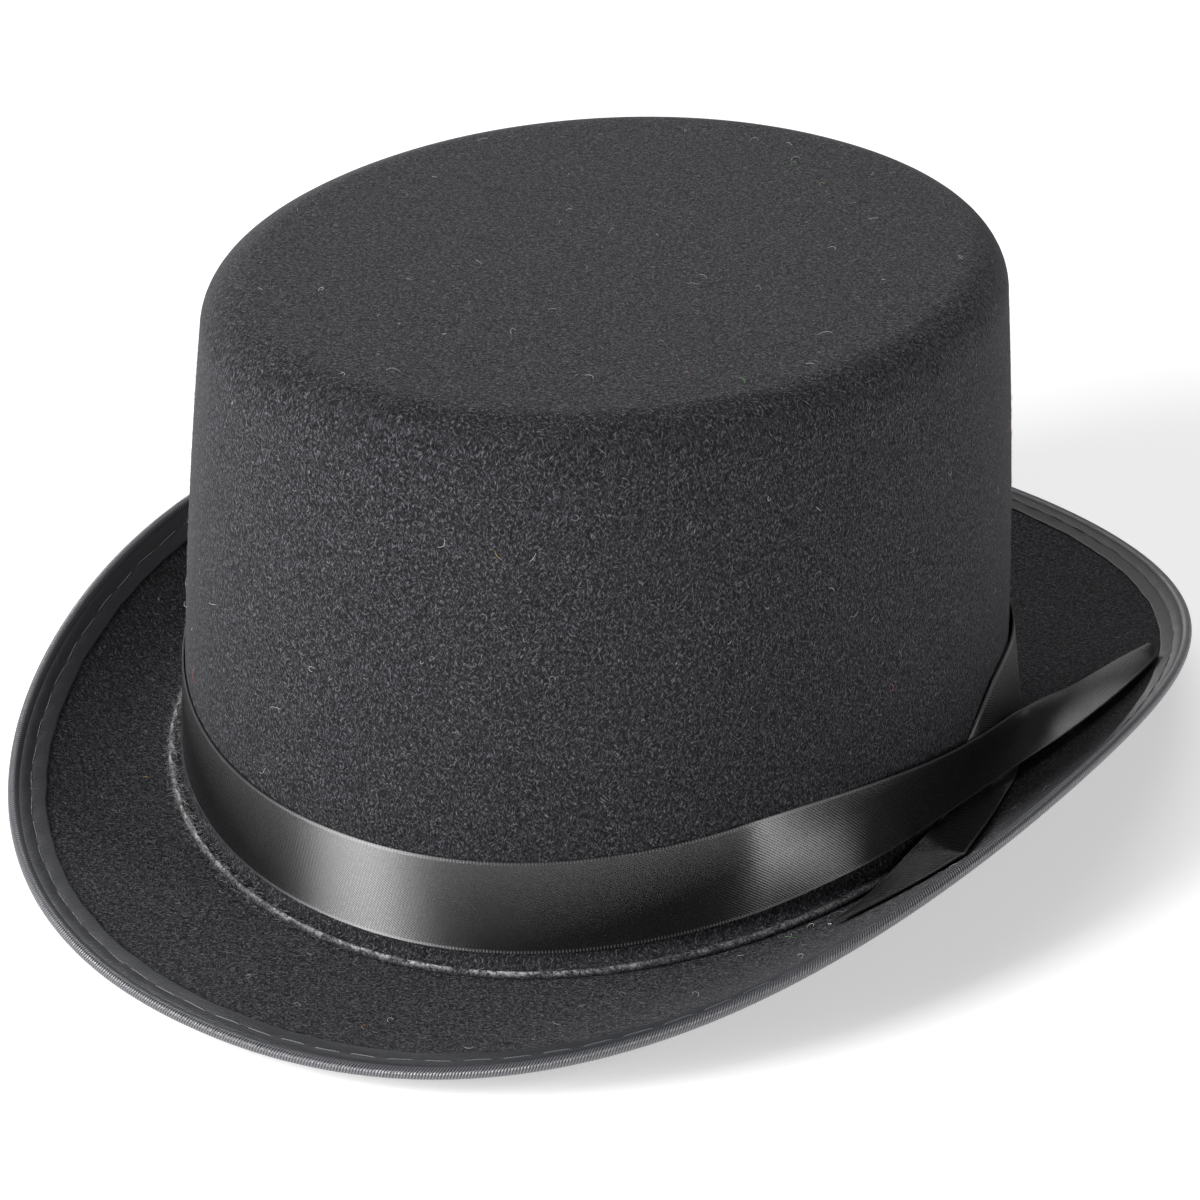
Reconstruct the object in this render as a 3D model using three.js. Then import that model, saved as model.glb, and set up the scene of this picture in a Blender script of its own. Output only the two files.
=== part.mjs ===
// A felt top hat with a satin band, as separate pieces in the order they are sewn together.
// Millimetres. +Z is up, -Y is the front of the hat, and +X is the wearer's left, where the band's ends cross.
// The origin is on the surface the hat stands on, under the middle of the brim.

import * as THREE from 'three';

// ---- Driving dimensions ----

const STEPS = 48;                                   // facets round the hat
const SHOULDER_STEPS = 4;
const WALL_STEPS = 4;

const FOOT = { x: 90, y: 100.4 };                   // half width and half length of the crown at its foot
const SHOULDER = { x: 79.6, y: 102.1 };             // the same where the shoulder starts
const CROWN_SQUARENESS = 2.06;                      // exponent of the crown's oval: 2 is an ellipse
const CROWN_HEIGHT = 119.2;
const SHOULDER_RADIUS = 10.65;
const WALL_BULGE = 1.1;                             // how far the wall swells half way up
const TIP_SLOPE = Math.tan(THREE.MathUtils.degToRad(-2.9));   // the flat tip is higher in front

const SADDLE = 4.8;                                 // the crown's foot rises at the sides, dips front and back
const BRIM = { x: 118.9, y: 158.1, squareness: 2.1, trim: 0.0096 };
const BRIM_BACK_SHIFT = 8.7;                        // the brim is wider behind than in front
const EDGE_HEIGHT = { mean: 9.75, sides: 13.1, quarters: 1.64 };
const BRIM_CURL = 1.73;                             // how late the brim turns up towards its edge
const RIDGE_REACH = 3.0;                            // from the crown's wall out to the raised ridge on the brim
const BRIM_MID = -0.8;                              // middle of the brim's layers, under the ridge
const BRIM_INNER = 6.2;                             // from the ridge in to the brim's inner edge
const LIFT = 6.36;                                  // from the crown's foot line down to the table

const GAP = 0.25;                                   // between two pieces that lie on each other
const FELT = 0.5;                                   // each felt layer of the brim
const BRIM_CORE = 0.3;                              // stiffener between them
const BRIM_GAP = 0.15;                              // between the layers of the brim
const BINDING_SKIN = 0.3;
const BINDING_WIDTH = 9.0;                          // from the brim's outline to the binding's inner edge
const BEAD_CENTRE = 1.25;                           // from the outline in to the middle of the bead
const FELT_CUT = 2.6;                               // from the outline in to the felt's cut edge
const WIRE_RADIUS = 0.4;
const THREAD = 0.3;
const STITCH_LINE = 5.3;                            // from the outline in to the row of stitches

const CROWN_FELT = 1.6;                             // thickness of the crown's felt
const CROWN_CORE = { inset: 1.9, thickness: 0.4, low: 0.6 };
const LINING = { inset: 2.6, thickness: 0.35, low: 6, underTop: 3 };
const SWEATBAND = { inset: 3.6, thickness: 0.6, low: -1.2, height: 30, stitches: 0.6 };
const LABEL = { low: 3, high: 21, halfWidth: 7.5, outset: 0.3 };

const RIBBON = 0.5;                                 // thickness of the satin ribbon
const BAND_LOW = 4.8;                               // the band's lower and upper edge above the foot line
const BAND_HIGH = 26.7;
const BAND_START = 48.75;                           // degrees from the wearer's left towards the back
const BAND_END = -26.25;                            // degrees from the wearer's left towards the front

// ---- The hat's shape ----

const rad = THREE.MathUtils.degToRad;
const angles = Array.from({ length: STEPS }, (_, i) => (i + 0.5) * 2 * Math.PI / STEPS);

function oval(angle, halfX, halfY, squareness) {
  const c = Math.cos(angle);
  const s = Math.sin(angle);
  const power = 2 / squareness;
  return [
    halfX * Math.sign(c) * Math.abs(c) ** power,
    halfY * Math.sign(s) * Math.abs(s) ** power,
  ];
}

function saddle(angle) {
  return SADDLE * Math.cos(2 * angle);
}

// A point of the crown's section at height z, moved in from the wall by inset and scaled towards the middle.
function crownPoint(angle, z, inset, scale = 1) {
  const t = Math.min(Math.max(z / (CROWN_HEIGHT - SHOULDER_RADIUS), 0), 1);
  const swell = WALL_BULGE * 4 * t * (1 - t) - inset;
  const halfX = THREE.MathUtils.lerp(FOOT.x, SHOULDER.x, t) + swell;
  const halfY = THREE.MathUtils.lerp(FOOT.y, SHOULDER.y, t) + swell;
  const [x, y] = oval(angle, halfX * scale, halfY * scale, CROWN_SQUARENESS);
  return new THREE.Vector3(x, y, z + TIP_SLOPE * y * Math.max(z, 0) / CROWN_HEIGHT);
}

function brimEdge(angle) {
  const trim = 1 - BRIM.trim * Math.cos(4 * angle);
  const [x, y] = oval(angle, BRIM.x * trim, BRIM.y * trim, BRIM.squareness);
  const z = EDGE_HEIGHT.mean + EDGE_HEIGHT.sides * Math.cos(2 * angle) + EDGE_HEIGHT.quarters * Math.cos(4 * angle);
  return new THREE.Vector3(x, y + BRIM_BACK_SHIFT, z);
}

function ridgeFoot(angle) {
  const [x, y] = oval(angle, FOOT.x + RIDGE_REACH, FOOT.y + RIDGE_REACH, CROWN_SQUARENESS);
  return new THREE.Vector3(x, y, saddle(angle) + BRIM_MID);
}

// A point of the brim: s is 0 at the ridge and 1 at the outline, and up is measured square to the brim's middle.
function brimPoint(angle, s, up) {
  const from = ridgeFoot(angle);
  const span = brimEdge(angle).sub(from);
  const along = Math.max(s, 0);
  const reach = Math.hypot(span.x, span.y);
  const slope = span.z * BRIM_CURL * along ** (BRIM_CURL - 1) / reach;
  const tilt = Math.hypot(1, slope);
  const point = new THREE.Vector3(from.x + span.x * s, from.y + span.y * s, from.z + span.z * along ** BRIM_CURL);
  point.x -= up * slope / tilt * span.x / reach;
  point.y -= up * slope / tilt * span.y / reach;
  point.z += up / tilt;
  return point;
}

// The value of s at a distance from the outline, measured along the brim.
function brimAt(angle, distance) {
  const span = brimEdge(angle).sub(ridgeFoot(angle));
  return 1 - distance / Math.hypot(span.x, span.y, span.z * BRIM_CURL);
}

function brimInner(angle) {
  const span = brimEdge(angle).sub(ridgeFoot(angle));
  return -BRIM_INNER / Math.hypot(span.x, span.y);
}

// ---- Closed meshes from rows of points ----

const APEX = new THREE.Vector3(0, 0, CROWN_HEIGHT);

// Two ways to split a four-sided facet a, b, c, d along the line from a to c, or else from b to d. Hoops split each
// facet from its corner nearer the apex, so that two layers which lie on each other have matching facets. A twisted
// strip splits it along the shorter line, so that its two faces never cross.
const nearerApex = (a, b, c, d) => a.distanceTo(APEX) <= d.distanceTo(APEX);
const shorter = (a, b, c, d) => a.distanceTo(c) <= b.distanceTo(d);

// Rows of points, each closed on itself and joined in turn. A hoop joins the last row to the first; otherwise
// the first and last rows are single points.
function loft(rows, { hoop = false, splits = nearerApex } = {}) {
  const positions = [];
  const starts = [];
  for (const row of rows) {
    starts.push(positions.length / 3);
    for (const point of row) positions.push(point.x, point.y, point.z);
  }
  const indices = [];
  const links = hoop ? rows.length : rows.length - 1;
  for (let r = 0; r < links; r += 1) {
    const next = (r + 1) % rows.length;
    const [near, far] = [rows[r], rows[next]];
    const count = Math.max(near.length, far.length);
    for (let i = 0; i < count; i += 1) {
      const j = (i + 1) % count;
      const [a, b] = near.length === 1 ? [starts[r], starts[r]] : [starts[r] + i, starts[r] + j];
      const [d, c] = far.length === 1 ? [starts[next], starts[next]] : [starts[next] + i, starts[next] + j];
      if (a === b) {
        indices.push(a, c, d);
      } else if (c === d) {
        indices.push(a, b, c);
      } else if (splits(near[i], near[j], far[j], far[i])) {
        indices.push(a, b, c, a, c, d);
      } else {
        indices.push(a, b, d, b, c, d);
      }
    }
  }
  const geometry = new THREE.BufferGeometry();
  geometry.setAttribute('position', new THREE.Float32BufferAttribute(positions, 3));
  geometry.setIndex(indices);
  return facingOut(geometry);
}

function facingOut(geometry) {
  const position = geometry.getAttribute('position');
  const index = geometry.getIndex();
  const [a, b, c] = [new THREE.Vector3(), new THREE.Vector3(), new THREE.Vector3()];
  let volume = 0;
  for (let i = 0; i < index.count; i += 3) {
    a.fromBufferAttribute(position, index.getX(i));
    b.fromBufferAttribute(position, index.getX(i + 1));
    c.fromBufferAttribute(position, index.getX(i + 2));
    volume += a.dot(b.cross(c));
  }
  if (volume < 0) {
    for (let i = 0; i < index.count; i += 3) {
      const first = index.getX(i);
      index.setX(i, index.getX(i + 2));
      index.setX(i + 2, first);
    }
  }
  geometry.computeVertexNormals();
  return geometry;
}

// A closed section, given at each angle as a list of points, carried all round the hat.
function hoopOf(sectionAt) {
  const sections = angles.map(sectionAt);
  const rows = sections[0].map((_, k) => sections.map((section) => section[k]));
  return loft(rows, { hoop: true });
}

// A strip of even thickness through stations, each a list of points across it.
function strip(stations, thickness) {
  const normalAt = (i, k) => {
    const along = stations[Math.min(i + 1, stations.length - 1)][k].clone();
    along.sub(stations[Math.max(i - 1, 0)][k]);
    const across = stations[i][Math.min(k + 1, stations[i].length - 1)].clone();
    across.sub(stations[i][Math.max(k - 1, 0)]);
    return along.cross(across).normalize();
  };
  const rows = stations.map((station, i) => {
    const shift = (k, side) => station[k].clone().addScaledVector(normalAt(i, k), side * thickness / 2);
    const over = station.map((_, k) => shift(k, 1));
    const under = station.map((_, k) => shift(k, -1)).reverse();
    return [...over, ...under];
  });
  const middle = (row) => {
    const sum = row.reduce((total, point) => total.add(point), new THREE.Vector3());
    return [sum.divideScalar(row.length)];
  };
  return loft([middle(rows[0]), ...rows, middle(rows[rows.length - 1])], { splits: shorter });
}

function piece(name, geometry, look) {
  const mesh = new THREE.Mesh(geometry, new THREE.MeshStandardMaterial(look));
  mesh.name = name;
  return mesh;
}

const FELT_LOOK = { color: 0x1b1b1c, roughness: 0.95, metalness: 0 };
const SATIN_LOOK = { color: 0x101012, roughness: 0.35, metalness: 0 };
const BINDING_LOOK = { color: 0x17181b, roughness: 0.45, metalness: 0 };
const LINING_LOOK = { color: 0x141416, roughness: 0.5, metalness: 0 };
const CORE_LOOK = { color: 0x2b2b2d, roughness: 0.9, metalness: 0 };
const SWEATBAND_LOOK = { color: 0x121213, roughness: 0.6, metalness: 0 };
const THREAD_LOOK = { color: 0x3a3b3f, roughness: 0.6, metalness: 0 };
const WIRE_LOOK = { color: 0x8d9094, roughness: 0.4, metalness: 1 };
const LABEL_LOOK = { color: 0xdedcd6, roughness: 0.8, metalness: 0 };

// ---- Crown ----

const WALL_TOP = CROWN_HEIGHT - SHOULDER_RADIUS;

// Rows of one skin of the crown from the middle of the tip down to a height above the foot line.
function crownSkin(inset, lowest) {
  const top = CROWN_HEIGHT - inset;
  const rows = [[crownPoint(0, top, SHOULDER_RADIUS, 0)]];
  rows.push(angles.map((angle) => crownPoint(angle, top, SHOULDER_RADIUS, 0.5)));
  for (let i = 0; i <= SHOULDER_STEPS; i += 1) {
    const turn = Math.PI / 2 * (1 - i / SHOULDER_STEPS);
    const radius = SHOULDER_RADIUS - inset;
    const from = SHOULDER_RADIUS - radius * Math.cos(turn);
    rows.push(angles.map((angle) => crownPoint(angle, WALL_TOP + radius * Math.sin(turn), from)));
  }
  for (let i = 1; i <= WALL_STEPS; i += 1) {
    const heightAt = (angle) => THREE.MathUtils.lerp(WALL_TOP, saddle(angle) + lowest, i / WALL_STEPS);
    rows.push(angles.map((angle) => crownPoint(angle, heightAt(angle), inset)));
  }
  return rows;
}

function crownStiffener() {
  const outside = crownSkin(CROWN_CORE.inset, CROWN_CORE.low);
  const inside = crownSkin(CROWN_CORE.inset + CROWN_CORE.thickness, CROWN_CORE.low);
  return loft([...outside, ...inside.reverse()]);
}

// The moulded felt runs from the tip down the wall, turns out and ends in the raised ridge on the brim.
function crownFelt() {
  const footTop = 3.2;
  const flange = [
    { reach: 1.2, height: 1.6 },
    { reach: 2.1, height: 1.1 },
    { reach: 3.0, height: 1.5 },
    { reach: 3.8, height: 1.0 },
    { reach: 3.7, height: 2 * GAP },
    { reach: -CROWN_FELT, height: GAP },
  ];
  const outside = crownSkin(0, footTop);
  const foot = flange.map(({ reach, height }) => angles.map((angle) => {
    const [x, y] = oval(angle, FOOT.x + reach, FOOT.y + reach, CROWN_SQUARENESS);
    return new THREE.Vector3(x, y, saddle(angle) + height);
  }));
  const inside = crownSkin(CROWN_FELT, footTop).reverse();
  return loft([...outside, ...foot, ...inside]);
}

function crownWallRing(inset, thickness, lowest, highest, steps) {
  return hoopOf((angle) => {
    const heights = Array.from({ length: steps + 1 }, (_, i) => {
      const foot = saddle(angle);
      return THREE.MathUtils.lerp(foot + lowest, highest(foot), i / steps);
    });
    const outside = heights.map((z) => crownPoint(angle, z, inset));
    const inside = heights.map((z) => crownPoint(angle, z, inset + thickness)).reverse();
    return [...outside, ...inside];
  });
}

function liningSide() {
  return crownWallRing(LINING.inset, LINING.thickness, LINING.low, () => WALL_TOP - LINING.underTop, WALL_STEPS);
}

function liningTip() {
  const top = CROWN_HEIGHT - LINING.inset;
  const edge = SHOULDER_RADIUS + 1;
  const discRow = (z, scale) => angles.map((angle) => crownPoint(angle, z, edge, scale));
  return loft([
    [crownPoint(0, top, edge, 0)],
    discRow(top, 0.5),
    discRow(top, 1),
    discRow(top - LINING.thickness, 1),
    discRow(top - LINING.thickness, 0.5),
    [crownPoint(0, top - LINING.thickness, edge, 0)],
  ]);
}

function sweatband() {
  const { inset, thickness, low, height } = SWEATBAND;
  return crownWallRing(inset, thickness, low, (foot) => foot + low + height, 2);
}

function sweatbandThread() {
  const inset = SWEATBAND.inset + SWEATBAND.thickness + GAP;
  const height = SWEATBAND.stitches;
  return crownWallRing(inset, THREAD, height, (foot) => foot + height + THREAD, 1);
}

function careLabel() {
  const inset = SWEATBAND.inset + SWEATBAND.thickness + GAP + THREAD / 2 + LABEL.outset;
  const steps = 4;
  const stations = Array.from({ length: steps + 1 }, (_, i) => {
    const angle = rad(90 + THREE.MathUtils.lerp(-LABEL.halfWidth, LABEL.halfWidth, i / steps));
    return [LABEL.low, LABEL.high].map((height) => crownPoint(angle, saddle(angle) + height, inset));
  });
  return strip(stations, THREAD);
}

// ---- Brim ----

const BRIM_STATIONS = [
  brimInner,
  () => 0,
  (angle) => brimAt(angle, BINDING_WIDTH) / 3,
  (angle) => brimAt(angle, BINDING_WIDTH) * 2 / 3,
  (angle) => brimAt(angle, BINDING_WIDTH),
  (angle) => brimAt(angle, (BINDING_WIDTH + BEAD_CENTRE) / 2),
  (angle) => brimAt(angle, FELT_CUT),
];

function brimLayer(low, high) {
  return hoopOf((angle) => {
    const over = BRIM_STATIONS.map((at) => brimPoint(angle, at(angle), high));
    const under = BRIM_STATIONS.map((at) => brimPoint(angle, at(angle), low)).reverse();
    return [...over, ...under];
  });
}

// Half the room inside the folded tape, which holds both felts, the stiffener and the wire.
const BINDING_INSIDE = BRIM_CORE / 2 + 2 * BRIM_GAP + FELT + BRIM_GAP / 2;

// Bias tape folded over the edge: flat above, round the bead, and flat below.
function brimBinding() {
  const inner = BINDING_INSIDE;
  const outer = inner + BINDING_SKIN;
  const noseSteps = 4;
  const wrap = (angle, half) => {
    const points = [];
    points.push(brimPoint(angle, brimAt(angle, BINDING_WIDTH), half));
    points.push(brimPoint(angle, brimAt(angle, (BINDING_WIDTH + BEAD_CENTRE) / 2), half));
    for (let i = 0; i <= noseSteps; i += 1) {
      const turn = Math.PI * i / noseSteps;
      const distance = BEAD_CENTRE - half * Math.sin(turn);
      points.push(brimPoint(angle, brimAt(angle, distance), half * Math.cos(turn)));
    }
    points.push(brimPoint(angle, brimAt(angle, (BINDING_WIDTH + BEAD_CENTRE) / 2), -half));
    points.push(brimPoint(angle, brimAt(angle, BINDING_WIDTH), -half));
    return points;
  };
  return hoopOf((angle) => [...wrap(angle, outer), ...wrap(angle, inner).reverse()]);
}

function brimWire() {
  const sides = 8;
  return hoopOf((angle) => Array.from({ length: sides }, (_, i) => {
    const turn = 2 * Math.PI * i / sides;
    const distance = BEAD_CENTRE + WIRE_RADIUS * Math.cos(turn);
    return brimPoint(angle, brimAt(angle, distance), WIRE_RADIUS * Math.sin(turn));
  }));
}

// A strip of sheet metal rolled round the two ends of the wire at the middle of the back.
function wireJoiner() {
  const length = 12;
  const [hole, outside] = [WIRE_RADIUS + 0.12, WIRE_RADIUS + 0.4];
  const seam = rad(12);
  const shape = new THREE.Shape();
  shape.absarc(0, 0, outside, seam, 2 * Math.PI - seam, false);
  shape.absarc(0, 0, hole, 2 * Math.PI - seam, seam, true);
  const geometry = new THREE.ExtrudeGeometry(shape, { depth: length, bevelEnabled: false, curveSegments: 12 });
  geometry.translate(0, 0, -length / 2);
  geometry.rotateY(Math.PI / 2);
  const beside = Math.PI / 2 - Math.PI / STEPS;
  const centre = brimPoint(beside, brimAt(beside, BEAD_CENTRE), 0);
  geometry.translate(0, centre.y, centre.z);
  return geometry;
}

function bindingThread() {
  const low = BINDING_INSIDE + BINDING_SKIN + BRIM_GAP;
  return hoopOf((angle) => {
    const [near, far] = [brimAt(angle, STITCH_LINE + THREAD), brimAt(angle, STITCH_LINE)];
    return [
      brimPoint(angle, near, low),
      brimPoint(angle, far, low),
      brimPoint(angle, far, low + THREAD),
      brimPoint(angle, near, low + THREAD),
    ];
  });
}

// ---- Ribbon ----

const BAND_OUTSET = GAP + 0.05 + RIBBON / 2;
const RUN_OUTSET = BAND_OUTSET + 0.45;              // the loose runs stand a little off the wall

function hatBand() {
  const count = Math.round((360 + BAND_END - BAND_START) * STEPS / 360);
  const stations = Array.from({ length: count + 1 }, (_, i) => {
    const angle = rad(BAND_START + i * 360 / STEPS);
    return [BAND_LOW, BAND_HIGH].map((height) => crownPoint(angle, saddle(angle) + height, -BAND_OUTSET));
  });
  return strip(stations, RIBBON);
}

function stationsAlong(edges, count, from = 0, to = 1) {
  const curves = edges.map((points) => new THREE.CatmullRomCurve3(points, false, 'centripetal'));
  return Array.from({ length: count + 1 }, (_, i) => {
    const t = THREE.MathUtils.lerp(from, to, i / count);
    return curves.map((curve) => curve.getPoint(t));
  });
}

function onWall(degrees, height) {
  const angle = rad(degrees);
  return crownPoint(angle, saddle(angle) + height, -RUN_OUTSET);
}

const at = (x, y, z) => new THREE.Vector3(x, y, z);

const BAND_JOIN = 0.4;                              // degrees between the band and the ends that carry it on

// The front run leaves the crown at the wearer's left, crosses over the other run and lies back on the brim.
const OVER_EDGES = [
  [onWall(BAND_END + BAND_JOIN, BAND_LOW), at(88.6, -28, 10.6), at(91.2, -5, 10.2), at(92.4, 15, 9.4),
    at(93.0, 32, 8.3), at(95.0, 45.5, 8.8), at(97.2, 57.5, 10.6), at(99.2, 71.5, 13.1), at(97.4, 88.5, 13.4)],
  [onWall(BAND_END + BAND_JOIN, BAND_HIGH), at(87.6, -21, 28), at(90.6, -1, 25.2), at(89.6, 19.8, 20.7),
    at(87.4, 37, 16.5), at(85.0, 48, 12.4), at(83.6, 60, 8.7), at(84.6, 71, 6.8), at(92.4, 92, 11.3)],
];
const OVER_HINGE = 0.62;                            // where along the run its loose tail starts to lift

// The other run comes round the back, flares out over the ridge, passes under the first and lies on the brim.
const UNDER_EDGES = [
  [onWall(BAND_START - BAND_JOIN, BAND_LOW), at(77.2, 61.3, 3.7), at(86.0, 45, 5.0), at(92.9, 30, 6.0),
    at(95.6, 20, 6.6), at(98.3, 10, 7.7), at(103.2, -9.5, 10.9)],
  [onWall(BAND_START - BAND_JOIN, BAND_LOW + 1), at(76.7, 61.2, 5.0), at(84.9, 44.6, 6.7), at(88.6, 30, 7.1),
    at(89.7, 19, 7.3), at(91.0, 8, 8.0), at(95, -9.5, 9.7)],
  [onWall(BAND_START - BAND_JOIN, BAND_HIGH), onWall(39.5, BAND_HIGH - 0.6), onWall(30, BAND_HIGH - 1.2),
    at(86.0, 28, 28.5), at(89.0, 10, 18), at(90.6, 1, 8.9), at(92.3, -9.5, 9.6)],
];

// The loose end of that run: its selvage as far as a sharp corner, the slanting cut, and its other selvage.
const LOWER_TAIL_EDGES = [
  [at(103.3, -10.2, 11.0), at(104.4, -13.9, 11.7), at(100.8, -21.7, 9.3), at(95.6, -35, 7.0), at(91.2, -46.7, 5.8)],
  [at(92.4, -10.2, 9.6), at(92.2, -17.5, 8.3), at(92.0, -26, 6.9), at(91.6, -37, 5.9), at(90.4, -46.9, 5.5)],
];

function bandEndOver() {
  return strip(stationsAlong(OVER_EDGES, 14, 0, OVER_HINGE - 0.004), RIBBON);
}

function upperTail() {
  return strip(stationsAlong(OVER_EDGES, 8, OVER_HINGE, 1), RIBBON);
}

function bandEndUnder() {
  return strip(stationsAlong(UNDER_EDGES, 18), RIBBON);
}

function lowerTail() {
  return strip(stationsAlong(LOWER_TAIL_EDGES, LOWER_TAIL_EDGES[0].length - 1), RIBBON);
}

// A short bar of thread behind the crossing, which holds the front run to the one behind.
function bandTack() {
  const [length, width] = [3, 0.9];
  const geometry = new THREE.CapsuleGeometry(width / 2, length - width, 3, 8);
  geometry.rotateX(Math.PI / 2);
  return geometry.translate(89.4, 26, 12);
}

// ---- Assembly ----

const hat = new THREE.Group();
hat.name = 'top_hat';
hat.position.set(0, -BRIM_BACK_SHIFT, LIFT);

const crown = new THREE.Group();
crown.add(
  piece('crown_felt', crownFelt(), FELT_LOOK),
  piece('crown_stiffener', crownStiffener(), CORE_LOOK),
  piece('crown_lining_side', liningSide(), LINING_LOOK),
  piece('crown_lining_tip', liningTip(), LINING_LOOK),
  piece('sweatband', sweatband(), SWEATBAND_LOOK),
  piece('sweatband_thread', sweatbandThread(), THREAD_LOOK),
  piece('care_label', careLabel(), LABEL_LOOK),
);

const brim = new THREE.Group();
const feltLow = BRIM_CORE / 2 + BRIM_GAP;
brim.add(
  piece('brim_felt_top', brimLayer(feltLow, feltLow + FELT), FELT_LOOK),
  piece('brim_stiffener', brimLayer(-BRIM_CORE / 2, BRIM_CORE / 2), CORE_LOOK),
  piece('brim_felt_under', brimLayer(-feltLow - FELT, -feltLow), FELT_LOOK),
  piece('brim_binding', brimBinding(), BINDING_LOOK),
  piece('binding_thread', bindingThread(), THREAD_LOOK),
  piece('brim_wire', brimWire(), WIRE_LOOK),
  piece('wire_joiner', wireJoiner(), WIRE_LOOK),
);

const ribbon = new THREE.Group();
ribbon.add(
  piece('hat_band', hatBand(), SATIN_LOOK),
  piece('band_end_over', bandEndOver(), SATIN_LOOK),
  piece('band_end_under', bandEndUnder(), SATIN_LOOK),
  piece('band_tack', bandTack(), THREAD_LOOK),
  piece('upper_tail', upperTail(), SATIN_LOOK),
  piece('lower_tail', lowerTail(), SATIN_LOOK),
);

hat.add(crown, brim, ribbon);

export default hat;
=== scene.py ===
"""A black felt top hat: fine meshes and materials round its CAD model.

Metres. +Z is up, -Y is the front of the hat, and +X is the wearer's left, where the ribbon's ends cross.
Angles round the hat start at +X, the wearer's left, and go by the back. Shapes are worked out in hat
coordinates, whose origin is the middle of the crown's foot, and each mesh is moved into the CAD model's
frame as it is made.
"""

import math

import bmesh
import bpy
import numpy as np
from mathutils import Matrix, Vector


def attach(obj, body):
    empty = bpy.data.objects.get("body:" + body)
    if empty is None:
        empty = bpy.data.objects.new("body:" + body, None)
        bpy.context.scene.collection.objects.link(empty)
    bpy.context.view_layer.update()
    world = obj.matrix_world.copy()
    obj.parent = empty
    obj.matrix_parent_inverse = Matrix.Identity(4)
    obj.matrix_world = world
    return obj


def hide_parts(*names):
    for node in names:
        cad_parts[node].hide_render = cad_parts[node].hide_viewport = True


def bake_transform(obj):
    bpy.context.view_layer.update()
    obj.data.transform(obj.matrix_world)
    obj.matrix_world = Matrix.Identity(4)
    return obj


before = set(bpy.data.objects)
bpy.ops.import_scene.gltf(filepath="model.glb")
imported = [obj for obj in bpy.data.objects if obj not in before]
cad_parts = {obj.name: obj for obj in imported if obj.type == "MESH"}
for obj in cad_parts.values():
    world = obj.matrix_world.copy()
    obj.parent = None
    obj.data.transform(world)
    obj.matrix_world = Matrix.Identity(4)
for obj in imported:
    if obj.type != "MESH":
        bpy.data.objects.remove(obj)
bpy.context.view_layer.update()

# ---- Driving dimensions, as in the CAD model ----

MM = 0.001
FOOT = (90.0 * MM, 100.4 * MM)
SHOULDER = (79.6 * MM, 102.1 * MM)
CROWN_SQUARENESS = 2.06
CROWN_HEIGHT = 119.2 * MM
SHOULDER_RADIUS = 10.65 * MM
WALL_TOP = CROWN_HEIGHT - SHOULDER_RADIUS
WALL_BULGE = 1.1 * MM
TIP_SLOPE = math.tan(math.radians(-2.9))
SADDLE = 4.8 * MM
BRIM = (118.9 * MM, 158.1 * MM)
BRIM_SQUARENESS = 2.1
BRIM_TRIM = 0.0096
BRIM_BACK_SHIFT = 8.7 * MM
EDGE_HEIGHT = (9.75 * MM, 13.1 * MM, 1.64 * MM)   # mean, rise at the sides, rise between
BRIM_CURL = 1.73
RIDGE_REACH = 3.0 * MM
BRIM_MID = -0.8 * MM
BRIM_INNER = 6.2 * MM
LIFT = 6.36 * MM
SHIFT = np.array([0, -BRIM_BACK_SHIFT, LIFT])

CROWN_FELT = 1.6 * MM
BRIM_FELT = (0.3 * MM, 0.8 * MM)                # each felt layer, from the brim's middle
BRIM_CORE = 0.15 * MM
BINDING_WIDTH = 9.0 * MM
BEAD_CENTRE = 1.25 * MM
FELT_CUT = 2.6 * MM
STITCH_LINE = 5.3 * MM
STITCH_PITCH = 9.0 * MM
RIBBON_WIDTH = 21.9 * MM
RIBBON_THICKNESS = 0.35 * MM
BAND_LOW = 4.8 * MM
BAND_HIGH = 26.7 * MM
BAND_OUTSET = 0.55 * MM

STIFFENER_INSET = 1.9 * MM                      # insets from the outside of the crown's wall
STIFFENER_THICKNESS = 0.4 * MM
STIFFENER_LOW = 0.6 * MM
LINING_INSET = 2.5 * MM
LINING_THICKNESS = 0.25 * MM
LINING_LOW = 5.0 * MM
LINING_BELOW_SHOULDER = 2.0 * MM
LINING_FOLDS = 46
LINING_FOLD_DEPTH = 0.35 * MM
TIP_LINING_DROP = 2.6 * MM
SWEATBAND_INSET = 3.6 * MM
SWEATBAND_THICKNESS = 0.6 * MM
SWEATBAND_LOW = -1.2 * MM
SWEATBAND_HEIGHT = 30.0 * MM
LABEL_INSET = 4.75 * MM
LABEL_THICKNESS = 0.3 * MM
LABEL_LOW = 3.0 * MM
LABEL_HEIGHT = 18.0 * MM
LABEL_HALF_ANGLE = math.radians(7.5)

BACK = math.pi / 2

rng = np.random.default_rng(7)


# ---- The hat's shape ----

def oval(angle, half_x, half_y, squareness):
    """A point of an oval that is a little squarer than an ellipse."""
    c, s = np.cos(angle), np.sin(angle)
    power = 2 / squareness
    return half_x * np.sign(c) * np.abs(c) ** power, half_y * np.sign(s) * np.abs(s) ** power


def saddle(angle):
    """Height of the crown's foot, which rises at the sides and dips in front and behind."""
    return SADDLE * np.cos(2 * angle)


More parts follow.
